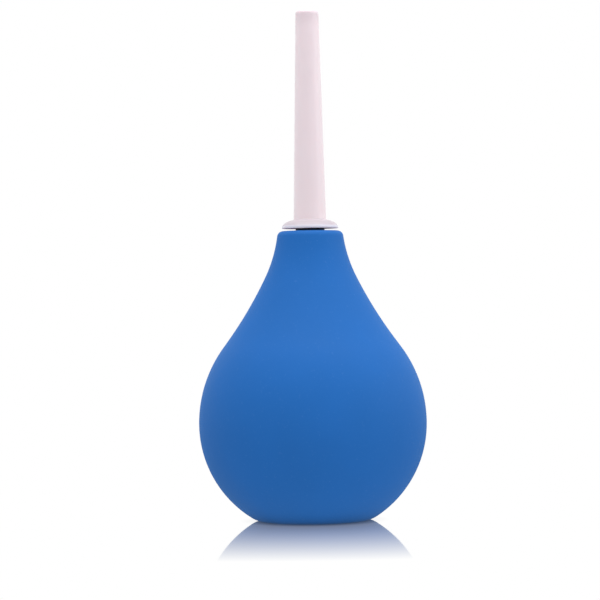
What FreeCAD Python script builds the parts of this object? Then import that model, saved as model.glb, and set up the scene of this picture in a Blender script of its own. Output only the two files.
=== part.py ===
"""Bulb syringe: a pear-shaped rubber squeeze bulb with a tapered plastic nozzle plugged into its neck.

Frame: millimetres, +Z up along the common axis, origin at the centre of the face that the bulb stands on.
Pieces: bulb (hollow, one moulding), mouth_seal (ring seated in the mouth), nozzle (one moulding with a
tapered shaft, a domed flange and a barbed stem that plugs into the neck).
"""

import FreeCAD, Part
import Sketcher
import math
import os

DIMENSIONS = [
    # bulb, outside
    ("bulb_height", 111.7),
    ("belly_radius", 44.0),
    ("belly_level", 37.4),
    ("lower_round", 42.8),
    ("upper_round", 49.6),
    ("flank_angle", 36.3),
    ("flank_length", 3.2),
    ("neck_foot_round", 160.0),
    ("neck_joint_level", 94.0),
    ("mouth_face_radius", 12.55),
    ("mouth_edge_round", 2.3),
    ("base_edge_round", 9.0),
    ("dish_radius", 16.0),
    ("dish_depth", 1.0),
    # bulb, inside
    ("wall", 3.0),
    ("floor_wall", 4.0),
    ("floor_edge_round", 8.0),
    ("neck_grip", 21.0),
    ("funnel_angle", 33.0),
    ("funnel_edge_round", 12.0),
    # fit of the stem in the neck
    ("stem_radius", 4.5),
    ("stem_clearance", 0.05),
    # seal in the mouth
    ("seal_outer_radius", 5.6),
    ("seal_seat", 0.9),
    ("seal_proud", 0.9),
    ("seal_edge_round", 0.3),
    # nozzle, outside
    ("shaft_length", 84.1),
    ("shaft_root_radius", 6.2),
    ("tip_radius", 4.4),
    ("tip_edge_round", 1.0),
    ("flange_radius", 10.9),
    ("flange_height", 3.2),
    ("flange_rim", 0.8),
    ("flange_dome", 5.0),
    ("flange_root_round", 0.8),
    ("flange_low_round", 0.25),
    # nozzle, stem and bore
    ("stem_length", 24.0),
    ("stem_lead", 0.7),
    ("collar_length", 4.0),
    ("barb_first", 5.5),
    ("barb_pitch", 5.5),
    ("barb_count", 3),
    ("barb_depth", 0.8),
    ("barb_land", 0.6),
    ("barb_length", 4.2),
    ("barb_sunk", 0.5),
    ("bore_stem_radius", 2.6),
    ("bore_tip_radius", 1.9),
    ("outlet_radius", 1.6),
    ("outlet_length", 4.0),
    ("outlet_edge_round", 0.4),
]
START, END, CENTRE = 1, 2, 3  # a sketch point's role on its line or arc
LEVEL_AXIS, TURN_AXIS = -1, -2  # the sketch's own axes: level through the origin, and the axis of turning
ORIGIN = (LEVEL_AXIS, START)
EDGE_TOLERANCE = 0.05  # how far an edge may be from the ring asked for

doc = FreeCAD.newDocument("bulb_syringe")
sheet = doc.addObject("Spreadsheet::Sheet", "dims")
for row, (alias, value) in enumerate(DIMENSIONS, start=1):
    sheet.set(f"A{row}", alias)
    sheet.set(f"B{row}", str(value))
    sheet.setAlias(f"B{row}", alias)
doc.recompute()
size = dict(DIMENSIONS)


# ---------------------------------------- sketch and feature helpers


def new_body(label):
    body = doc.addObject("PartDesign::Body", label)
    body.Label = label
    return body


def section_sketch(body, name):
    """A sketch on the body's XZ plane: its x is the distance from the axis, its y is the height."""
    plane = next(f for f in body.Origin.OriginFeatures if f.Role == "XZ_Plane")
    sketch = body.newObject("Sketcher::SketchObject", name)
    sketch.AttachmentSupport = [(plane, "")]
    sketch.MapMode = "FlatFace"
    return sketch


def point(x, y):
    return FreeCAD.Vector(x, y, 0)


def add_line(sketch, start, end):
    return sketch.addGeometry(Part.LineSegment(point(*start), point(*end)), False)


def add_arc(sketch, centre, radius, first_angle, last_angle):
    """An arc that runs anticlockwise from first_angle to last_angle, in degrees."""
    circle = Part.Circle(point(*centre), FreeCAD.Vector(0, 0, 1), radius)
    arc = Part.ArcOfCircle(circle, math.radians(first_angle), math.radians(last_angle))
    return sketch.addGeometry(arc, False)


def constrain(sketch, kind, *where):
    sketch.addConstraint(Sketcher.Constraint(kind, *where))


def drive(sketch, name, expression, kind, *where):
    """A named dimension of the sketch, worked out from the spreadsheet."""
    index = sketch.addConstraint(Sketcher.Constraint(kind, *where))
    sketch.renameConstraint(index, name)
    sketch.setExpression(f"Constraints.{name}", expression)


def place_point(sketch, name, geometry, role, x_expression, y_expression, near):
    """Ties a point to its distance from the axis and its height; near is where the point starts.

    With no x expression the point is on the axis, and with no y expression it is at height 0.
    """
    where = (*ORIGIN, geometry, role)
    if x_expression is None:
        constrain(sketch, "PointOnObject", geometry, role, TURN_AXIS)
    else:
        drive(sketch, f"{name}_x", x_expression, "DistanceX", *where, near[0])
    if y_expression is None:
        constrain(sketch, "PointOnObject", geometry, role, LEVEL_AXIS)
    else:
        drive(sketch, f"{name}_y", y_expression, "DistanceY", *where, near[1])


def section_polygon(body, name, corners):
    """A closed section of straight lines. A corner is (name, x expression, y expression, (x, y) at first)."""
    sketch = section_sketch(body, name)
    places = [corner[3] for corner in corners]
    lines = [add_line(sketch, a, b) for a, b in zip(places, places[1:] + places[:1])]
    for this, following in zip(lines, lines[1:] + lines[:1]):
        constrain(sketch, "Coincident", this, END, following, START)
    for line, (corner, x_expression, y_expression, near) in zip(lines, corners):
        place_point(sketch, corner, line, START, x_expression, y_expression, near)
    return sketch


def turn(body, sketch, name, kind="Revolution"):
    """Turns a section about the axis, to add material (Revolution) or remove it (Groove)."""
    feature = body.newObject(f"PartDesign::{kind}", name)
    feature.Profile = sketch
    feature.ReferenceAxis = (sketch, ["V_Axis"])
    feature.Angle = 360
    body.Tip = feature
    doc.recompute()
    return feature


def ring_edge(feature, radius, height):
    """The name of the feature's circular edge of this radius at this height, in the body's own frame."""

    def distance(edge):
        centre = edge.Curve.Center
        return math.hypot(edge.Curve.Radius - radius, centre.z - height)

    edges = feature.Shape.Edges
    whole = [n for n, edge in enumerate(edges) if not edge.Degenerated and edge.isClosed()]
    rings = [n for n in whole if isinstance(edges[n].Curve, Part.Circle)]
    nearest = min(rings, key=lambda n: distance(edges[n]))
    if distance(edges[nearest]) > EDGE_TOLERANCE:
        raise ValueError(f"{feature.Label} has no edge of radius {radius:.2f} at height {height:.2f}")
    return f"Edge{nearest + 1}"


def dress_edge(body, base, kind, name, size_alias, edge_radius, edge_height):
    """A Fillet or Chamfer on one circular edge, sized by a cell of the spreadsheet."""
    feature = body.newObject(f"PartDesign::{kind}", name)
    feature.Base = (base, [ring_edge(base, edge_radius, edge_height)])
    sized = {"Fillet": "Radius", "Chamfer": "Size"}[kind]
    feature.setExpression(sized, f"dims.{size_alias}")
    body.Tip = feature
    doc.recompute()
    return feature


# ---------------------------------------- bulb


def pear_arcs(sketch, inset, foot_height):
    """The belly's two arcs and its flank, inset from the outside by a wall. Returns (lower, upper, flank)."""
    belly = size["belly_radius"] - inset
    level = size["belly_level"]
    lower_radius = size["lower_round"] - inset
    upper_radius = size["upper_round"] - inset
    angle = size["flank_angle"]
    foot_angle = math.degrees(math.asin((foot_height - level) / lower_radius))
    lower = add_arc(sketch, (belly - lower_radius, level), lower_radius, foot_angle, 0)
    upper_centre = (belly - upper_radius, level)
    upper = add_arc(sketch, upper_centre, upper_radius, 0, angle)
    across, along = math.cos(math.radians(angle)), math.sin(math.radians(angle))
    start = (upper_centre[0] + upper_radius * across, level + upper_radius * along)
    length = size["flank_length"]
    end = (start[0] - length * along, start[1] + length * across)
    flank = add_line(sketch, start, end)

    less = " - dims.wall" if inset else ""
    constrain(sketch, "Tangent", lower, END, upper, START)
    constrain(sketch, "Tangent", upper, END, flank, START)
    constrain(sketch, "Horizontal", lower, CENTRE, lower, END)
    place_point(sketch, "belly", lower, END, "dims.belly_radius" + less, "dims.belly_level", (belly, level))
    drive(sketch, "lower_round", "dims.lower_round" + less, "Radius", lower, lower_radius)
    drive(sketch, "upper_round", "dims.upper_round" + less, "Radius", upper, upper_radius)
    flank_turn = math.radians(90 + angle)
    drive(sketch, "flank", "90 deg + dims.flank_angle * 1 deg", "Angle", flank, flank_turn)
    return lower, upper, flank


def lower_arc_radius_at(height, inset=0.0):
    """Distance from the axis to the belly's lower arc, at a height."""
    radius = size["lower_round"] - inset
    centre = size["belly_radius"] - size["lower_round"]
    return centre + math.sqrt(radius**2 - (height - size["belly_level"]) ** 2)


def neck_arcs(flank_end):
    """The neck's two arcs, foot then top, as (centre, radius, first angle, last angle).

    The foot carries on from the flank. The top carries on from the foot at the joint's level, and ends
    at the mouth's corner.
    """
    angle = math.radians(size["flank_angle"])
    foot_round = size["neck_foot_round"]
    foot_centre = (
        flank_end.x + foot_round * math.cos(angle),
        flank_end.y + foot_round * math.sin(angle),
    )
    joint_angle = math.asin((foot_centre[1] - size["neck_joint_level"]) / foot_round)
    joint = (foot_centre[0] - foot_round * math.cos(joint_angle), size["neck_joint_level"])
    gap = (size["mouth_face_radius"] - joint[0], size["bulb_height"] - joint[1])
    aside = gap[0] * math.cos(joint_angle) + gap[1] * math.sin(joint_angle)
    top_round = (gap[0] ** 2 + gap[1] ** 2) / (2 * aside)
    top_centre = (
        joint[0] + top_round * math.cos(joint_angle),
        joint[1] + top_round * math.sin(joint_angle),
    )
    mouth_angle = math.asin((top_centre[1] - size["bulb_height"]) / top_round)
    turns = [180 + math.degrees(a) for a in (mouth_angle, joint_angle, angle)]
    return (foot_centre, foot_round, turns[1], turns[2]), (top_centre, top_round, turns[0], turns[1])


def outer_section(body):
    """The pear's outside: base, belly, short straight flank, neck in two hollow arcs, flat mouth face."""
    sketch = section_sketch(body, "outer_section")
    height, face = size["bulb_height"], size["mouth_face_radius"]
    lower, upper, flank = pear_arcs(sketch, 0.0, 0.0)
    foot_arc, top_arc = neck_arcs(sketch.getPoint(flank, END))
    neck_foot = add_arc(sketch, *foot_arc)
    neck = add_arc(sketch, *top_arc)
    base = add_line(sketch, (0, 0), (lower_arc_radius_at(0.0), 0))
    mouth = add_line(sketch, (face, height), (0, height))
    axis = add_line(sketch, (0, height), (0, 0))
    constrain(sketch, "Coincident", base, START, *ORIGIN)
    constrain(sketch, "Horizontal", base)
    constrain(sketch, "Coincident", base, END, lower, START)
    constrain(sketch, "Tangent", flank, END, neck_foot, END)
    constrain(sketch, "Tangent", neck_foot, START, neck, END)
    constrain(sketch, "Coincident", neck, START, mouth, START)
    constrain(sketch, "Horizontal", mouth)
    constrain(sketch, "Coincident", mouth, END, axis, START)
    constrain(sketch, "Vertical", axis)
    constrain(sketch, "Coincident", axis, END, *ORIGIN)
    drive(sketch, "flank_length", "dims.flank_length", "Distance", flank, size["flank_length"])
    drive(sketch, "neck_foot_round", "dims.neck_foot_round", "Radius", neck_foot, foot_arc[1])
    joint_at = (*ORIGIN, neck, END, size["neck_joint_level"])
    drive(sketch, "neck_joint", "dims.neck_joint_level", "DistanceY", *joint_at)
    mouth_at = ("dims.mouth_face_radius", "dims.bulb_height", (face, height))
    place_point(sketch, "mouth", neck, START, *mouth_at)
    return sketch


def cavity_section(body):
    """The hollow: floor, belly, a funnel up to the neck's bore, and the seat for the seal."""
    sketch = section_sketch(body, "cavity_section")
    wall, floor = size["wall"], size["floor_wall"]
    height, grip = size["bulb_height"], size["neck_grip"]
    bore = size["stem_radius"] + size["stem_clearance"]
    seat = size["seal_outer_radius"] + size["stem_clearance"]
    seat_floor = height - size["seal_seat"]
    throat = height - grip
    lower, upper, flank = pear_arcs(sketch, wall, floor)
    floor_line = add_line(sketch, (0, floor), (lower_arc_radius_at(floor, wall), floor))
    flank_end = sketch.getPoint(flank, END)
    funnel = add_line(sketch, (flank_end.x, flank_end.y), (bore, throat))
    bore_line = add_line(sketch, (bore, throat), (bore, seat_floor))
    ledge = add_line(sketch, (bore, seat_floor), (seat, seat_floor))
    seat_line = add_line(sketch, (seat, seat_floor), (seat, height))
    mouth = add_line(sketch, (seat, height), (0, height))
    axis = add_line(sketch, (0, height), (0, floor))
    joins = [
        (floor_line, END, lower, START),
        (flank, END, funnel, START),
        (funnel, END, bore_line, START),
        (bore_line, END, ledge, START),
        (ledge, END, seat_line, START),
        (seat_line, END, mouth, START),
        (mouth, END, axis, START),
        (axis, END, floor_line, START),
    ]
    for join in joins:
        constrain(sketch, "Coincident", *join)
    for line in (floor_line, ledge, mouth):
        constrain(sketch, "Horizontal", line)
    for line in (bore_line, seat_line, axis):
        constrain(sketch, "Vertical", line)
    place_point(sketch, "floor", floor_line, START, None, "dims.floor_wall", (0, floor))
    bore_expression = "dims.stem_radius + dims.stem_clearance"
    throat_expression = "dims.bulb_height - dims.neck_grip"
    place_point(sketch, "throat", bore_line, START, bore_expression, throat_expression, (bore, throat))
    seat_expression = "dims.seal_outer_radius + dims.stem_clearance"
    ledge_expression = "dims.bulb_height - dims.seal_seat"
    place_point(sketch, "ledge", ledge, END, seat_expression, ledge_expression, (seat, seat_floor))
    drive(sketch, "top", "dims.bulb_height", "DistanceY", *ORIGIN, mouth, START, height)
    funnel_turn = math.radians(180 - size["funnel_angle"])
    drive(sketch, "funnel", "180 deg - dims.funnel_angle * 1 deg", "Angle", funnel, funnel_turn)
    return sketch


def dish_section(body):
    """The shallow hollow under the base, so that the bulb stands on a ring."""
    sketch = section_sketch(body, "dish_section")
    radius, depth = size["dish_radius"], size["dish_depth"]
    sphere = (radius**2 + depth**2) / (2 * depth)
    half_turn = math.degrees(math.asin(radius / sphere))
    cap = add_arc(sketch, (0, depth - sphere), sphere, 90 - half_turn, 90)
    face = add_line(sketch, (0, 0), (radius, 0))
    axis = add_line(sketch, (0, depth), (0, 0))
    constrain(sketch, "Coincident", face, START, *ORIGIN)
    constrain(sketch, "Horizontal", face)
    constrain(sketch, "Coincident", face, END, cap, START)
    constrain(sketch, "Coincident", cap, END, axis, START)
    constrain(sketch, "Coincident", axis, END, *ORIGIN)
    constrain(sketch, "PointOnObject", cap, CENTRE, TURN_AXIS)
    constrain(sketch, "PointOnObject", cap, END, TURN_AXIS)
    drive(sketch, "dish_radius", "dims.dish_radius", "DistanceX", *ORIGIN, cap, START, radius)
    drive(sketch, "dish_depth", "dims.dish_depth", "DistanceY", *ORIGIN, cap, END, depth)
    return sketch


def funnel_ring(sketch):
    """(radius, height) of the ring where the hollow's flank meets the funnel."""
    flank = next(n for n, g in enumerate(sketch.Geometry) if g.TypeId == "Part::GeomLineSegment")
    corner = sketch.getPoint(flank, END)
    return corner.x, corner.y


def make_bulb():
    body = new_body("bulb")
    pear = turn(body, outer_section(body), "pear")
    mouth_edge = (size["mouth_face_radius"], size["bulb_height"])
    eased = dress_edge(body, pear, "Fillet", "mouth_edge", "mouth_edge_round", *mouth_edge)
    base_edge = (lower_arc_radius_at(0.0), 0.0)
    dress_edge(body, eased, "Fillet", "base_edge", "base_edge_round", *base_edge)
    turn(body, dish_section(body), "dish", "Groove")
    cavity = cavity_section(body)
    hollow = turn(body, cavity, "cavity", "Groove")
    floor_edge = (lower_arc_radius_at(size["floor_wall"], size["wall"]), size["floor_wall"])
    eased = dress_edge(body, hollow, "Fillet", "floor_edge", "floor_edge_round", *floor_edge)
    dress_edge(body, eased, "Fillet", "funnel_edge", "funnel_edge_round", *funnel_ring(cavity))
    return body


# ---------------------------------------- seal


def make_mouth_seal():
    """A flat rubber ring. It sits in the mouth's seat and stands a little proud, under the flange."""
    body = new_body("mouth_seal")
    inner = size["stem_radius"] + size["stem_clearance"]
    outer = size["seal_outer_radius"]
    depth = size["seal_seat"] + size["seal_proud"]
    inner_expression = "dims.stem_radius + dims.stem_clearance"
    depth_expression = "dims.seal_seat + dims.seal_proud"
    corners = [
        ("inner_low", inner_expression, None, (inner, 0)),
        ("outer_low", "dims.seal_outer_radius", None, (outer, 0)),
        ("outer_high", "dims.seal_outer_radius", depth_expression, (outer, depth)),
        ("inner_high", inner_expression, depth_expression, (inner, depth)),
    ]
    ring = turn(body, section_polygon(body, "seal_section", corners), "ring")
    dress_edge(body, ring, "Fillet", "outer_edge", "seal_edge_round", outer, depth)
    body.setExpression(".Placement.Base.z", "dims.bulb_height - dims.seal_seat")
    return body


# ---------------------------------------- nozzle (its z = 0 is the flange's underside)


def nozzle_section(body):
    """Outside of the nozzle: slim stem, collar, flange with a domed top, and tapered shaft."""
    sketch = section_sketch(body, "nozzle_section")
    collar, length, collar_foot = size["stem_radius"], size["stem_length"], -size["collar_length"]
    core = collar - size["barb_depth"]
    flange, rim, height = size["flange_radius"], size["flange_rim"], size["flange_height"]
    root, tip, top = size["shaft_root_radius"], size["tip_radius"], size["shaft_length"]
    stem_end = add_line(sketch, (0, -length), (core, -length))
    stem_side = add_line(sketch, (core, -length), (core, collar_foot))
    collar_end = add_line(sketch, (core, collar_foot), (collar, collar_foot))
    collar_side = add_line(sketch, (collar, collar_foot), (collar, 0))
    underside = add_line(sketch, (collar, 0), (flange, 0))
    rim_side = add_line(sketch, (flange, 0), (flange, rim))
    dome_centre = (root, height - size["flange_dome"])
    rim_angle = math.degrees(math.atan2(rim - dome_centre[1], flange - dome_centre[0]))
    dome = add_arc(sketch, dome_centre, size["flange_dome"], rim_angle, 90)
    shaft = add_line(sketch, (root, height), (tip, top))
    end_face = add_line(sketch, (tip, top), (0, top))
    axis = add_line(sketch, (0, top), (0, -length))
    loop = [stem_end, stem_side, collar_end, collar_side, underside, rim_side, dome, shaft, end_face, axis]
    for this, following in zip(loop, loop[1:] + loop[:1]):
        constrain(sketch, "Coincident", this, END, following, START)
    for line in (stem_end, collar_end, end_face):
        constrain(sketch, "Horizontal", line)
    for line in (stem_side, collar_side, rim_side):
        constrain(sketch, "Vertical", line)
    place_point(sketch, "stem_foot", stem_end, START, None, "-dims.stem_length", (0, -length))
    core_expression = "dims.stem_radius - dims.barb_depth"
    core_at = (core_expression, "-dims.collar_length", (core, collar_foot))
    place_point(sketch, "collar_foot", collar_end, START, *core_at)
    place_point(sketch, "collar_top", underside, START, "dims.stem_radius", None, (collar, 0))
    place_point(sketch, "rim_low", underside, END, "dims.flange_radius", None, (flange, 0))
    drive(sketch, "rim", "dims.flange_rim", "DistanceY", *ORIGIN, rim_side, END, rim)
    drive(sketch, "dome", "dims.flange_dome", "Radius", dome, size["flange_dome"])
    root_at = ("dims.shaft_root_radius", "dims.flange_height", (root, height))
    place_point(sketch, "root", shaft, START, *root_at)
    place_point(sketch, "tip", shaft, END, "dims.tip_radius", "dims.shaft_length", (tip, top))
    constrain(sketch, "PointOnObject", axis, START, TURN_AXIS)
    return sketch


def barb_section(body):
    """One barb: its shoulder faces up, and its cone narrows towards the stem's end."""
    crest = size["stem_radius"]
    core = crest - size["barb_depth"]
    shoulder = -size["barb_first"]
    land, foot = shoulder - size["barb_land"], shoulder - size["barb_length"]
    inside = core - size["barb_sunk"]
    inside_expression = "dims.stem_radius - dims.barb_depth - dims.barb_sunk"
    land_expression = "-(dims.barb_first + dims.barb_land)"
    foot_expression = "-(dims.barb_first + dims.barb_length)"
    corners = [
        ("shoulder_in", inside_expression, "-dims.barb_first", (inside, shoulder)),
        ("shoulder", "dims.stem_radius", "-dims.barb_first", (crest, shoulder)),
        ("land", "dims.stem_radius", land_expression, (crest, land)),
        ("cone_foot", "dims.stem_radius - dims.barb_depth", foot_expression, (core, foot)),
        ("foot_in", inside_expression, foot_expression, (inside, foot)),
    ]
    return section_polygon(body, "barb_section", corners)


def bore_section(body):
    """The way for the liquid: a bore that narrows from the stem to the small outlet at the tip."""
    low, top = -size["stem_length"], size["shaft_length"]
    neck = top - size["outlet_length"]
    wide, narrow, outlet = size["bore_stem_radius"], size["bore_tip_radius"], size["outlet_radius"]
    neck_expression = "dims.shaft_length - dims.outlet_length"
    corners = [
        ("foot_axis", None, "-dims.stem_length", (0, low)),
        ("foot", "dims.bore_stem_radius", "-dims.stem_length", (wide, low)),
        ("bore_end", "dims.bore_tip_radius", neck_expression, (narrow, neck)),
        ("outlet_foot", "dims.outlet_radius", neck_expression, (outlet, neck)),
        ("outlet_top", "dims.outlet_radius", "dims.shaft_length", (outlet, top)),
        ("top_axis", None, "dims.shaft_length", (0, top)),
    ]
    return section_polygon(body, "bore_section", corners)


def make_nozzle():
    body = new_body("nozzle")
    blank = turn(body, nozzle_section(body), "blank")
    top, stem_end = size["shaft_length"], -size["stem_length"]
    edges = [
        ("Fillet", "root_edge", "flange_root_round", size["shaft_root_radius"], size["flange_height"]),
        ("Fillet", "rim_edge", "flange_low_round", size["flange_radius"], 0.0),
        ("Fillet", "tip_edge", "tip_edge_round", size["tip_radius"], top),
        ("Chamfer", "lead", "stem_lead", size["stem_radius"] - size["barb_depth"], stem_end),
    ]
    eased = blank
    for edge in edges:
        eased = dress_edge(body, eased, *edge)
    barb = turn(body, barb_section(body), "barb")
    barbs = body.newObject("PartDesign::LinearPattern", "barbs")
    barbs.Originals = [barb]
    barbs.Direction = (barb.Profile[0], ["V_Axis"])
    barbs.Reversed = True
    barbs.setExpression("Length", "dims.barb_pitch * (dims.barb_count - 1)")
    barbs.setExpression("Occurrences", "dims.barb_count")
    body.Tip = barbs
    doc.recompute()
    bored = turn(body, bore_section(body), "bore", "Groove")
    dress_edge(body, bored, "Fillet", "outlet_edge", "outlet_edge_round", size["outlet_radius"], top)
    body.setExpression(".Placement.Base.z", "dims.bulb_height + dims.seal_proud")
    return body


# ---------------------------------------- build, check and write

bodies = [make_bulb(), make_mouth_seal(), make_nozzle()]
doc.recompute()

for item in doc.Objects:
    if {"Invalid", "Error"} & set(item.State):
        raise RuntimeError(f"{item.Label} failed: {item.State}")
    if item.TypeId == "Sketcher::SketchObject" and not item.FullyConstrained:
        raise RuntimeError(f"sketch {item.Label} isn't fully constrained")
for body in bodies:
    if body.Shape.isNull() or not body.Shape.isValid() or len(body.Shape.Solids) != 1:
        raise RuntimeError(f"{body.Label} isn't one valid solid")

os.makedirs("parts", exist_ok=True)
for body in bodies:
    body.Shape.exportStep(f"parts/{body.Label}.step")
    box = body.Shape.optimalBoundingBox(True, False)
    heights = f"z {box.ZMin:.2f} to {box.ZMax:.2f}"
    print(f"{body.Label}: {body.Shape.Volume:.1f} mm3, {heights}, width {box.XLength:.2f}")
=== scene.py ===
"""Bulb syringe on a glossy white table: a pear-shaped rubber bulb, and a tapered nozzle plugged into it.

Metres, +Z up along the common axis, origin at the centre of the ring that the bulb stands on.
"""
import math

import bpy
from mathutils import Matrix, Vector


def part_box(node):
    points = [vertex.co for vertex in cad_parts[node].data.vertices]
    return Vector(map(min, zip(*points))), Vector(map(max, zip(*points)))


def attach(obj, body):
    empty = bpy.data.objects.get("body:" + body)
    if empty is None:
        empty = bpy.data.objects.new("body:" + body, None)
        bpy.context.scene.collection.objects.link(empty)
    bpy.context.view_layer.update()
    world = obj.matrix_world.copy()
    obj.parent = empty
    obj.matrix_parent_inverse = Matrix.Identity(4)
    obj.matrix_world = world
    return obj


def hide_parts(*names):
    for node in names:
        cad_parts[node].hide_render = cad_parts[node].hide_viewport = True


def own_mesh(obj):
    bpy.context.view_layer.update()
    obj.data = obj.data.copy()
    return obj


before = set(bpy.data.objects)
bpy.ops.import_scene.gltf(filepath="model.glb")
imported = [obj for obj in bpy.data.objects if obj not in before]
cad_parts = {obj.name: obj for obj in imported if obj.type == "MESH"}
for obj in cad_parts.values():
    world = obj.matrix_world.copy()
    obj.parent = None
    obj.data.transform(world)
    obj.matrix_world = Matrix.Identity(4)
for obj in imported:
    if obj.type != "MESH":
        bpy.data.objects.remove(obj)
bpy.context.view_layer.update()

MM = 0.001

# ---------------------------------------------------------------- camera, first of all

scene = bpy.context.scene
scene.view_settings.view_transform = "Standard"

CAMERA_DISTANCE = 982 * MM
CAMERA_HEIGHT = 85.05 * MM
CAMERA_ASIDE = -4.3 * MM
CAMERA_ROLL = math.radians(0.85)
CAMERA_FIELD = math.radians(13.46)

bpy.ops.object.camera_add(
    location=(CAMERA_ASIDE, -CAMERA_DISTANCE, CAMERA_HEIGHT),
    rotation=(math.radians(90), CAMERA_ROLL, 0),
)
camera = bpy.context.active_object
camera.name = "camera"
camera.data.sensor_width = 36
camera.data.angle = CAMERA_FIELD
camera.data.clip_start = 0.01
camera.data.clip_end = 50
scene.camera = camera

# ---------------------------------------------------------------- sizes

bulb_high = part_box("bulb")[1]
nozzle_low, nozzle_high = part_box("nozzle")
ring_low, ring_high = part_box("mouth_seal")

SEAM = 0.05 * MM  # how far a mould's parting line stands proud
BELLY = min(bulb_high.x, bulb_high.y) - SEAM
BULB_TOP = bulb_high.z
TIP_LEVEL = nozzle_high.z
FLANGE_LEVEL = ring_high.z  # the flange's underside rests on the ring
FLANGE = min(nozzle_high.x, nozzle_high.y) - SEAM
RING = min(ring_high.x, ring_high.y)

TURN_STEPS = 192  # faces round the axis
SMOOTH_UP_TO = math.radians(35)  # edges sharper than this stay sharp in the shading

# ---------------------------------------------------------------- the lathe: outlines drawn and turned


class Outline:
    """Draws the section of a turned piece with a pen. A place is (distance from the axis, height)."""

    def __init__(self, name, radius, height):
        bpy.ops.object.select_all(action="DESELECT")
        bpy.ops.mesh.primitive_plane_add(size=MM, location=(radius, 0, height))
        bpy.ops.object.transform_apply(location=True)
        self.piece = bpy.context.active_object
        self.piece.name = self.piece.data.name = name
        bpy.ops.object.mode_set(mode="EDIT")
        bpy.ops.mesh.select_all(action="SELECT")
        bpy.ops.mesh.merge(type="CENTER")
        self.pen = Vector((radius, 0, height))

    def line_to(self, radius, height, steps=1):
        step = (Vector((radius, 0, height)) - self.pen) / steps
        for _ in range(steps):
            bpy.ops.mesh.extrude_region_move(TRANSFORM_OT_translate={"value": step})
        self.pen = Vector((radius, 0, height))

    def arc_to(self, radius, height, centre, steps):
        """Turns the pen about centre, the short way round, to the place given."""
        middle = Vector((centre[0], 0, centre[1]))
        end = Vector((radius, 0, height))
        before, after = self.pen - middle, end - middle
        turn = math.atan2(after.x, after.z) - math.atan2(before.x, before.z)
        turn = (turn + math.pi) % (2 * math.pi) - math.pi
        bpy.ops.mesh.spin(steps=steps, angle=-turn, center=middle, axis=(0, 1, 0))
        self.pen = end

    def turned(self):
        """Turns the whole outline about the axis, and closes its seam and its poles."""
        bpy.ops.mesh.select_all(action="SELECT")
        bpy.ops.mesh.spin(steps=TURN_STEPS, angle=2 * math.pi, center=(0, 0, 0), axis=(0, 0, 1))
        bpy.ops.mesh.select_all(action="SELECT")
        bpy.ops.mesh.remove_doubles(threshold=0.001 * MM)
        bpy.ops.mesh.normals_make_consistent(inside=False)
        bpy.ops.object.mode_set(mode="OBJECT")
        return self.piece


def finish_piece(piece, body, node):
    """Smooths the piece's shading and puts it in the place of its CAD node."""
    bpy.ops.object.select_all(action="DESELECT")
    piece.select_set(True)
    bpy.context.view_layer.objects.active = piece
    bpy.ops.object.shade_smooth_by_angle(angle=SMOOTH_UP_TO)
    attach(piece, body)
    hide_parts(node)


ON_PLANE = 0.01 * MM
FACING_OUT = 0.5  # of the normal's length


def raise_parting_line(piece, half_width, height):
    """The mould's parting line: a fine ridge down both sides of the piece's outside, in the XZ plane.

    Two cuts beside the plane keep the ridge narrow. Then the points in the plane that face outwards move out.
    """
    bpy.ops.object.mode_set(mode="EDIT")
    for side in (-half_width, half_width):
        bpy.ops.mesh.select_all(action="SELECT")
        bpy.ops.mesh.bisect(plane_co=(0, side, 0), plane_no=(0, 1, 0))
    bpy.ops.mesh.select_all(action="DESELECT")
    bpy.ops.object.mode_set(mode="OBJECT")
    for vertex in piece.data.vertices:
        outward = vertex.normal.x * math.copysign(1, vertex.co.x)
        vertex.select = abs(vertex.co.y) < ON_PLANE and outward > FACING_OUT
    bpy.ops.object.mode_set(mode="EDIT")
    bpy.ops.mesh.select_mode(type="VERT")
    bpy.ops.transform.shrink_fatten(value=height)
    bpy.ops.object.mode_set(mode="OBJECT")


# ---------------------------------------------------------------- bulb

BELLY_LEVEL = 37.4 * MM
LOWER_ROUND = 42.8 * MM
UPPER_ROUND = 49.6 * MM
FLANK = math.radians(36.3)
FLANK_LENGTH = 3.2 * MM
NECK_FOOT_ROUND = 160 * MM
NECK_JOINT_LEVEL = 94 * MM
MOUTH_FACE = 12.5 * MM
MOUTH_EDGE = 2.3 * MM
BASE_EDGE = 9 * MM
DISH = 16 * MM
DISH_DEPTH = 1 * MM
WALL = 3 * MM
FLOOR = 4 * MM
FLOOR_EDGE = 8 * MM
THROAT_LEVEL = BULB_TOP - 21 * MM
FUNNEL = math.radians(33)
FUNNEL_EDGE = 12 * MM
NECK_BORE = 4.55 * MM
SEAT = RING + 0.05 * MM
SEAT_EDGE = 0.3 * MM
SEAT_LEVEL = ring_low.z
BULB_RIDGE = 0.35 * MM  # half the width of its parting line


def rounded_foot(centre, radius, level, edge):
    """Centre of a rounding that leaves a level and runs into the inside of an arc above it."""
    rise = centre[1] - level - edge
    return centre[0] + math.sqrt((radius - edge) ** 2 - rise**2), level + edge


def from_centre(centre, through, radius):
    """The place at that distance from centre, in the direction of another place."""
    way = Vector(through) - Vector(centre)
    return tuple(Vector(centre) + way.normalized() * radius)


def rounded_corner(before, corner, after, radius):
    """A rounding where two straight lines meet at a corner: its two ends, and its centre."""
    corner = Vector(corner)
    back, on = (Vector(before) - corner).normalized(), (Vector(after) - corner).normalized()
    half = back.angle(on) / 2
    ends = [corner + way * (radius / math.tan(half)) for way in (back, on)]
    return *ends, corner + (back + on).normalized() * (radius / math.sin(half))


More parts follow.
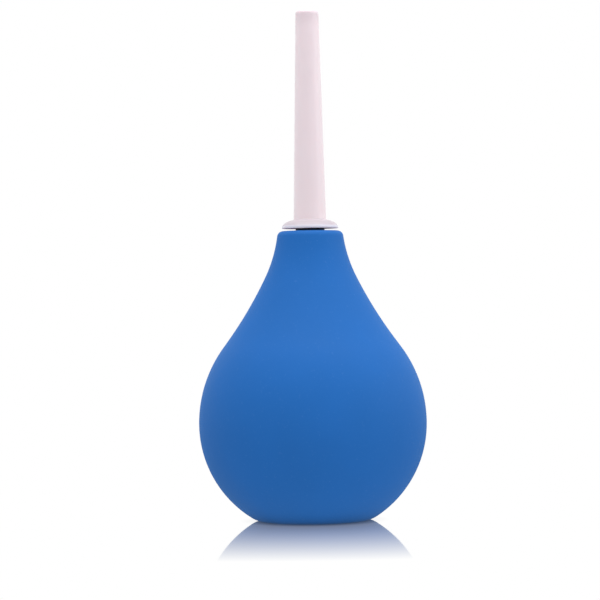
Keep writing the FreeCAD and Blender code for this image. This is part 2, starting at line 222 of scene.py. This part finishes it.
def neck_arcs(flank_top):
    """The hollow neck's foot and top: the foot's centre, the joint, the top's centre and radius.

    The foot carries on from the flank, and the top from the foot, through the mouth's corner.
    """
    foot_centre = Vector(flank_top) + Vector((math.cos(FLANK), math.sin(FLANK))) * NECK_FOOT_ROUND
    turn = math.asin((foot_centre.y - NECK_JOINT_LEVEL) / NECK_FOOT_ROUND)
    way = Vector((math.cos(turn), math.sin(turn)))
    joint = foot_centre - way * NECK_FOOT_ROUND
    gap = Vector((MOUTH_FACE, BULB_TOP)) - joint
    top_round = gap.length_squared / (2 * gap.dot(way))
    return foot_centre, joint, joint + way * top_round, top_round


def draw_outside(outline, lower_centre, upper_centre, flank_way):
    """From the middle of the dish under the base, up over the belly and the neck, to the mouth's seat."""
    dish_round = (DISH**2 + DISH_DEPTH**2) / (2 * DISH_DEPTH)
    outline.arc_to(DISH, 0, (0, DISH_DEPTH - dish_round), 8)
    foot = rounded_foot(lower_centre, LOWER_ROUND, 0, BASE_EDGE)
    outline.line_to(foot[0], 0, 3)
    outline.arc_to(*from_centre(lower_centre, foot, LOWER_ROUND), foot, 12)
    outline.arc_to(BELLY, BELLY_LEVEL, lower_centre, 20)
    outline.arc_to(*(upper_centre + flank_way * UPPER_ROUND), upper_centre, 20)
    flank_top = outline.pen.xz + Vector((-flank_way.y, flank_way.x)) * FLANK_LENGTH
    outline.line_to(*flank_top, 3)
    foot_centre, joint, top_centre, top_round = neck_arcs(flank_top)
    outline.arc_to(*joint, foot_centre, 16)
    corner_level = BULB_TOP - MOUTH_EDGE
    reach = math.sqrt((top_round + MOUTH_EDGE) ** 2 - (top_centre.y - corner_level) ** 2)
    corner = (top_centre.x - reach, corner_level)
    outline.arc_to(*from_centre(top_centre, corner, top_round), top_centre, 14)
    outline.arc_to(corner[0], BULB_TOP, corner, 8)
    outline.line_to(SEAT + SEAT_EDGE, BULB_TOP, 5)
    outline.line_to(SEAT, BULB_TOP - SEAT_EDGE)


def draw_inside(outline, lower_centre, upper_centre, flank_way):
    """From the mouth's seat, down the neck's bore and the funnel, round the hollow belly, to its floor."""
    outline.line_to(SEAT, SEAT_LEVEL)
    outline.line_to(NECK_BORE, SEAT_LEVEL)
    outline.line_to(NECK_BORE, THROAT_LEVEL, 6)
    inner_start = upper_centre + flank_way * (UPPER_ROUND - WALL)
    funnel_rise, flank_rise = math.tan(FUNNEL), 1 / math.tan(FLANK)
    drop = inner_start.y + flank_rise * inner_start.x - THROAT_LEVEL - funnel_rise * NECK_BORE
    meet = drop / (flank_rise - funnel_rise)
    throat = (NECK_BORE, THROAT_LEVEL)
    corner = (meet, THROAT_LEVEL - funnel_rise * (meet - NECK_BORE))
    funnel_end, flank_end, edge_centre = rounded_corner(throat, corner, inner_start, FUNNEL_EDGE)
    outline.line_to(*funnel_end, 8)
    outline.arc_to(*flank_end, edge_centre, 6)
    outline.line_to(*inner_start, 6)
    outline.arc_to(BELLY - WALL, BELLY_LEVEL, upper_centre, 16)
    inner_foot = rounded_foot(lower_centre, LOWER_ROUND - WALL, FLOOR, FLOOR_EDGE)
    outline.arc_to(*from_centre(lower_centre, inner_foot, LOWER_ROUND - WALL), lower_centre, 14)
    outline.arc_to(inner_foot[0], FLOOR, inner_foot, 8)
    outline.line_to(0, FLOOR, 6)


def make_bulb():
    """One hollow moulding: pear-shaped belly, thick neck with a bore, flat mouth with the ring's seat."""
    lower_centre = Vector((BELLY - LOWER_ROUND, BELLY_LEVEL))
    upper_centre = Vector((BELLY - UPPER_ROUND, BELLY_LEVEL))
    flank_way = Vector((math.cos(FLANK), math.sin(FLANK)))
    outline = Outline("bulb_shell", 0, DISH_DEPTH)
    draw_outside(outline, lower_centre, upper_centre, flank_way)
    draw_inside(outline, lower_centre, upper_centre, flank_way)
    bulb = outline.turned()
    raise_parting_line(bulb, BULB_RIDGE, SEAM)
    finish_piece(bulb, "bulb", "bulb")
    return bulb


# ---------------------------------------------------------------- sealing ring

RING_EDGE = 0.25 * MM


def make_ring():
    """The rubber ring in the mouth, with both of its outer edges rounded."""
    inside, low, high = NECK_BORE, ring_low.z, ring_high.z
    flat = RING - RING_EDGE  # how far out its two faces are flat
    outline = Outline("sealing_ring", inside, low)
    outline.line_to(flat, low)
    outline.arc_to(RING, low + RING_EDGE, (flat, low + RING_EDGE), 4)
    outline.line_to(RING, high - RING_EDGE)
    outline.arc_to(flat, high, (flat, high - RING_EDGE), 4)
    outline.line_to(inside, high)
    outline.line_to(inside, low)
    ring = outline.turned()
    finish_piece(ring, "mouth", "mouth_seal")
    return ring


# ---------------------------------------------------------------- nozzle

SHAFT_ROOT = 6.2 * MM
ROOT_ROUND = 0.8 * MM
TIP = 4.4 * MM
TIP_EDGE = 1 * MM
FLANGE_HEIGHT = 3.2 * MM
FLANGE_EDGE = 0.25 * MM
RIM = 0.8 * MM
DOME = 5 * MM
COLLAR = 4.5 * MM
CORE = 3.7 * MM
COLLAR_LENGTH = 4 * MM
FIRST_BARB = 5.5 * MM
BARB_PITCH = 5.5 * MM
BARBS = 3
BARB_LAND = 0.6 * MM
BARB_LENGTH = 4.2 * MM
STEM_FOOT = nozzle_low.z
LEAD = 0.7 * MM
STEM_BORE = 2.6 * MM
TIP_BORE = 1.9 * MM
OUTLET = 1.6 * MM
OUTLET_LENGTH = 4 * MM
OUTLET_EDGE = 0.4 * MM
NOZZLE_RIDGE = 0.2 * MM  # half the width of its parting line


def draw_stem(outline):
    """From the stem's foot up over the barbs and the collar, to the flange's underside."""
    outline.line_to(CORE - LEAD, STEM_FOOT)
    outline.line_to(CORE, STEM_FOOT + LEAD)
    for barb in reversed(range(BARBS)):
        shoulder = FLANGE_LEVEL - FIRST_BARB - barb * BARB_PITCH
        outline.line_to(CORE, shoulder - BARB_LENGTH)
        outline.line_to(COLLAR, shoulder - BARB_LAND)
        outline.line_to(COLLAR, shoulder)
        outline.line_to(CORE, shoulder)
    outline.line_to(CORE, FLANGE_LEVEL - COLLAR_LENGTH)
    outline.line_to(COLLAR, FLANGE_LEVEL - COLLAR_LENGTH)
    outline.line_to(COLLAR, FLANGE_LEVEL)


def draw_flange(outline):
    """Out under the flange, round its lower edge, up its rim and its dome, and round into the shaft."""
    edge_centre = (FLANGE - FLANGE_EDGE, FLANGE_LEVEL + FLANGE_EDGE)
    outline.line_to(edge_centre[0], FLANGE_LEVEL, 4)
    outline.arc_to(FLANGE, edge_centre[1], edge_centre, 4)
    outline.line_to(FLANGE, FLANGE_LEVEL + RIM)
    rim = Vector((FLANGE, FLANGE_LEVEL + RIM))
    root = Vector((SHAFT_ROOT, FLANGE_LEVEL + FLANGE_HEIGHT))
    chord = root - rim
    inward = Vector((-chord.y, chord.x)).normalized()
    dome_centre = (rim + root) / 2 + inward * math.sqrt(DOME**2 - chord.length_squared / 4)
    across = SHAFT_ROOT + ROOT_ROUND - dome_centre.x
    level = dome_centre.y + math.sqrt((DOME + ROOT_ROUND) ** 2 - across**2)
    root_centre = (SHAFT_ROOT + ROOT_ROUND, level)
    outline.arc_to(*from_centre(dome_centre, root_centre, DOME), dome_centre, 12)
    outline.arc_to(SHAFT_ROOT, level, root_centre, 6)


def draw_shaft(outline):
    """Up the tapered shaft, over the tip, and down the outlet and the bore to the stem's foot."""
    outline.line_to(TIP, TIP_LEVEL - TIP_EDGE, 30)
    outline.arc_to(TIP - TIP_EDGE, TIP_LEVEL, (TIP - TIP_EDGE, TIP_LEVEL - TIP_EDGE), 8)
    outline.line_to(OUTLET + OUTLET_EDGE, TIP_LEVEL, 2)
    edge_centre = (OUTLET + OUTLET_EDGE, TIP_LEVEL - OUTLET_EDGE)
    outline.arc_to(OUTLET, edge_centre[1], edge_centre, 5)
    outline.line_to(OUTLET, TIP_LEVEL - OUTLET_LENGTH)
    outline.line_to(TIP_BORE, TIP_LEVEL - OUTLET_LENGTH)
    outline.line_to(STEM_BORE, STEM_FOOT, 12)


def make_nozzle():
    """One moulding: tapered shaft, domed flange, and the barbed stem that plugs into the neck."""
    outline = Outline("nozzle_moulding", STEM_BORE, STEM_FOOT)
    draw_stem(outline)
    draw_flange(outline)
    draw_shaft(outline)
    nozzle = outline.turned()
    raise_parting_line(nozzle, NOZZLE_RIDGE, SEAM)
    finish_piece(nozzle, "nozzle", "nozzle")
    return nozzle


bulb = make_bulb()
ring = make_ring()
nozzle = make_nozzle()

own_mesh(bulb)

# ---------------------------------------------------------------- materials

WHITE = (1, 1, 1, 1)


def hex_colour(code):
    """An sRGB hex colour as the linear RGBA that a shader takes."""

    def linear(part):
        value = int(part, 16) / 255
        return value / 12.92 if value <= 0.04045 else ((value + 0.055) / 1.055) ** 2.4

    return tuple(linear(code[n : n + 2]) for n in (1, 3, 5)) + (1.0,)


def add_node(tree, kind, sockets=(), **settings):
    """Adds a node. A socket takes a number, a colour or another node's output, which is linked."""
    made = tree.nodes.new("ShaderNode" + kind)
    for name, value in settings.items():
        setattr(made, name, value)
    for name, value in dict(sockets).items():
        if isinstance(value, bpy.types.NodeSocket):
            tree.links.new(value, made.inputs[name])
        else:
            made.inputs[name].default_value = value
    return made


def add_noise(tree, place, size_mm, detail, roughness):
    """A noise from 0 to 1, with marks of about that size."""
    scale = 1 / (size_mm * MM)
    sockets = {"Vector": place, "Scale": scale, "Detail": detail, "Roughness": roughness}
    return add_node(tree, "TexNoise", sockets).outputs["Fac"]


def add_range(tree, value, start, end, low=0.0, high=1.0, **settings):
    """Low up to the start, high from the end on, and a slope between them."""
    sockets = {"Value": value, "From Min": start, "From Max": end, "To Min": low, "To Max": high}
    return add_node(tree, "MapRange", sockets, **settings).outputs["Result"]


def add_math(tree, operation, first, second):
    """One step of arithmetic on two values."""
    return add_node(tree, "Math", {0: first, 1: second}, operation=operation).outputs[0]


def add_blend(tree, part, first, second):
    """The first colour where the part is 0, and the second where it is 1."""
    return add_node(tree, "Mix", {0: part, 6: first, 7: second}, data_type="RGBA").outputs[2]


def add_bump(tree, height, strength, depth_mm, **over):
    """A bumped normal, over another one if that is given as Normal."""
    sockets = {"Height": height, "Strength": strength, "Distance": depth_mm * MM, **over}
    return add_node(tree, "Bump", sockets).outputs[0]


def new_material(name):
    """An empty material, its tree, and the place on the object that its patterns follow."""
    material = bpy.data.materials.new(name)
    material.use_nodes = True
    tree = material.node_tree
    tree.nodes.clear()
    place = add_node(tree, "TexCoord").outputs["Object"]
    return material, tree, place


def show_surface(tree, shader):
    """Ends the tree with its shader."""
    add_node(tree, "OutputMaterial", {"Surface": shader.outputs[0]})


def wear(piece, material):
    """Gives the piece this material alone."""
    piece.data.materials.clear()
    piece.data.materials.append(material)


def matt_moulded_pvc():
    """Soft PVC from a mould with a finely etched skin: a deep even blue with a dull, cloudy bloom."""
    material, tree, place = new_material("matt_moulded_soft_pvc")
    cloud = add_noise(tree, place, 28, 3.0, 0.5)
    cloud_part = add_range(tree, cloud, 0.3, 0.7)
    blue = add_blend(tree, cloud_part, hex_colour("#145CA5"), hex_colour("#185FAA"))
    dust = add_noise(tree, place, 0.9, 2.0, 0.6)
    dust_part = add_range(tree, dust, 0.62, 0.8, high=0.08)
    etch = add_noise(tree, place, 0.45, 2.0, 0.55)
    etched = add_bump(tree, etch, 0.12, 0.06)
    ripple = add_noise(tree, place, 7, 1.0, 0.4)
    skin = add_node(
        tree,
        "BsdfPrincipled",
        {
            "Base Color": add_blend(tree, dust_part, blue, hex_colour("#7FA3D0")),
            "Roughness": add_range(tree, cloud, 0.3, 0.7, 0.6, 0.7),
            "IOR": 1.53,
            "Specular IOR Level": 0.15,
            "Sheen Weight": 0.12,
            "Sheen Roughness": 0.35,
            "Sheen Tint": hex_colour("#5AB4FF"),
            "Normal": add_bump(tree, ripple, 0.25, 0.3, Normal=etched),
        },
    )
    show_surface(tree, skin)
    return material


def painted_shade_in_nozzle(tree, place):
    """How much painted shade darkens the nozzle's colour at each height, and how far its tone goes from the
    rim's, painted bluish light from the bulb, to the dome's.
    """
    height = add_node(tree, "SeparateXYZ", {"Vector": place}).outputs["Z"]

    def step(start, end):
        return add_range(tree, height, start, end, interpolation_type="SMOOTHSTEP")

    flange_top = FLANGE_LEVEL + FLANGE_HEIGHT
    above_foot = step(FLANGE_LEVEL + 0.1 * MM, FLANGE_LEVEL + 0.5 * MM)
    above_flange = step(flange_top - 0.4 * MM, flange_top + 0.8 * MM)
    at_tip = step(TIP_LEVEL - 8 * MM, TIP_LEVEL + 8 * MM)
    # painted shade: the flange and the tip get a darker tone in the colour
    in_flange = add_math(tree, "SUBTRACT", above_foot, above_flange)
    painted_shade = add_math(tree, "ADD", in_flange, at_tip)
    return painted_shade, step(FLANGE_LEVEL + RIM, FLANGE_LEVEL + 2 * RIM)


def glossy_moulded_plastic():
    """Injection-moulded polypropylene, a milky faint pink: a soft gloss, long faint flow marks, painted shade
    that makes the flange and the tip denser in tone, and painted bluish light from the bulb round the
    flange's rim."""
    material, tree, place = new_material("glossy_moulded_polypropylene")
    along = add_node(tree, "Mapping", {"Vector": place, "Scale": (1, 1, 0.08)}).outputs[0]
    flow = add_noise(tree, along, 3.5, 2.0, 0.5)
    pink = add_blend(tree, flow, hex_colour("#DCCFD4"), hex_colour("#DFD2D8"))
    painted_shade, rim_bounce_to_dome_shade = painted_shade_in_nozzle(tree, place)
    # the rim's cooler tone is painted bluish light from the bulb, and the dome's darker tone is painted shade
    painted_shade_and_bounce_tone = add_blend(tree, rim_bounce_to_dome_shade, hex_colour("#C6C4D1"), hex_colour("#B5ABB3"))
    peel = add_noise(tree, place, 1.6, 1.0, 0.4)
    plastic = add_node(
        tree,
        "BsdfPrincipled",
        {
            "Base Color": add_blend(tree, painted_shade, pink, painted_shade_and_bounce_tone),
            "Roughness": add_range(tree, flow, 0.3, 0.7, 0.28, 0.32),
            "IOR": 1.49,
            "Subsurface Weight": 0.7,
            "Subsurface Radius": (1.0, 0.85, 0.85),
            "Subsurface Scale": 4 * MM,
            "Normal": add_bump(tree, peel, 0.15, 0.05),
        },
    )
    show_surface(tree, plastic)
    return material


def nitrile_rubber_and_gap_shade():
    """Moulded nitrile rubber: near black with a cold blue cast, dull, with a fine grain. Its dark blue-black
    colour is also painted shade of the narrow gap under the flange.
    """
    material, tree, place = new_material("nitrile_rubber_and_gap_shade")
    grain = add_noise(tree, place, 0.4, 3.0, 0.6)
    rubber = add_node(
        tree,
        "BsdfPrincipled",
        {
            # painted shade: the ring's near-black blue cast stands for the shade in the gap under the flange
            "Base Color": add_blend(tree, grain, hex_colour("#12151F"), hex_colour("#232838")),
            "Roughness": 0.55,
            "IOR": 1.52,
            "Normal": add_bump(tree, grain, 0.3, 0.05),
        },
    )
    show_surface(tree, rubber)
    return material


# The table's own light, seen at different distances from the axis and along different rays.
FOOT = 20 * MM  # where the bulb's foot leaves the table
CONTACT_SHADOW_END = 29 * MM  # how far out the painted contact shadow, a dark line round the foot, fades
# how bright the table looks to the camera inside the painted contact shadow
CONTACT_SHADOW_LIGHT = 0.1
SHADE_START, SHADE_END = 19 * MM, 32 * MM  # between them the table comes out of the bulb's shade
SHADE_LIGHT, TABLE_LIGHT = 0.15, 1.1  # what it gives to the object in its shade, and clear of it
SHEEN_LIGHT = 0.3  # what the object's gloss sees of it
MIRROR_END = 155 * MM  # how far out the mirror image fades
MIRROR_PART = 0.86
MIRROR_FADE = 1.6


def light_of_table(tree, away, ray):
    """How bright the table is, at that distance and along that kind of ray, with a painted contact shadow
    round the foot for the camera.
    """
    # painted contact shadow: to the camera the table darkens round the bulb's foot
    contact_shadow = add_range(tree, away, FOOT, CONTACT_SHADOW_END, CONTACT_SHADOW_LIGHT, 1.0)
    shaded = add_range(tree, away, SHADE_START, SHADE_END, SHADE_LIGHT, TABLE_LIGHT)
    given = add_range(tree, ray["Is Diffuse Ray"], 0.0, 1.0, SHEEN_LIGHT, shaded)
    return add_range(tree, ray["Is Camera Ray"], 0.0, 1.0, given, contact_shadow)


def glossy_white_acrylic():
    """White acrylic sheet that glows as if lit, polished: a mirror image of what stands on it, which fades
    further out, and a painted contact shadow round the bulb's foot.
    """
    material, tree, place = new_material("glossy_white_acrylic")
    away = add_node(tree, "VectorMath", {0: place}, operation="LENGTH").outputs["Value"]
    ray = add_node(tree, "LightPath").outputs
    out = add_range(tree, away, FOOT, MIRROR_END)
    faded = add_math(tree, "POWER", out, MIRROR_FADE)
    near_part = add_range(tree, faded, 0.0, 1.0, MIRROR_PART, 0.0)
    mirror_part = add_math(tree, "MULTIPLY", near_part, ray["Is Camera Ray"])
    mirror = add_node(tree, "BsdfAnisotropic", {"Color": WHITE, "Roughness": 0.03})
    light = light_of_table(tree, away, ray)
    glow = add_node(tree, "Emission", {"Color": WHITE, "Strength": light})
    both = add_node(tree, "MixShader", {0: mirror_part, 1: glow.outputs[0], 2: mirror.outputs[0]})
    show_surface(tree, both)
    return material


wear(bulb, matt_moulded_pvc())
wear(nozzle, glossy_moulded_plastic())
wear(ring, nitrile_rubber_and_gap_shade())

# ---------------------------------------------------------------- table, light and surroundings

bpy.ops.object.select_all(action="DESELECT")
bpy.ops.mesh.primitive_plane_add(size=12)
table = bpy.context.active_object
table.name = "table"
wear(table, glossy_white_acrylic())

LAMP_AIM = Vector((0, 0, 0.08))


def add_softbox(name, size, energy, place):
    """A rectangular lamp, turned to the middle of the object."""
    bpy.ops.object.light_add(type="AREA", location=place)
    lamp = bpy.context.active_object
    lamp.name = name
    lamp.data.shape = "RECTANGLE"
    lamp.data.size, lamp.data.size_y = size
    lamp.data.energy = energy
    lamp.rotation_euler = (LAMP_AIM - Vector(place)).to_track_quat("-Z", "Y").to_euler()


def light_surroundings():
    """White surroundings on every side, as bright as they look."""
    world = bpy.data.worlds.new("white_surroundings")
    world.use_nodes = True
    tree = world.node_tree
    tree.nodes.clear()
    white = add_node(tree, "Background", {"Color": WHITE, "Strength": 1.0})
    add_node(tree, "OutputWorld", {"Surface": white.outputs[0]})
    scene.world = world


add_softbox("softbox_over", (0.9, 0.7), 4.5, (0.0, -0.08, 0.8))
add_softbox("softbox_right", (0.5, 0.6), 1.5, (0.75, -0.1, 0.45))
light_surroundings()
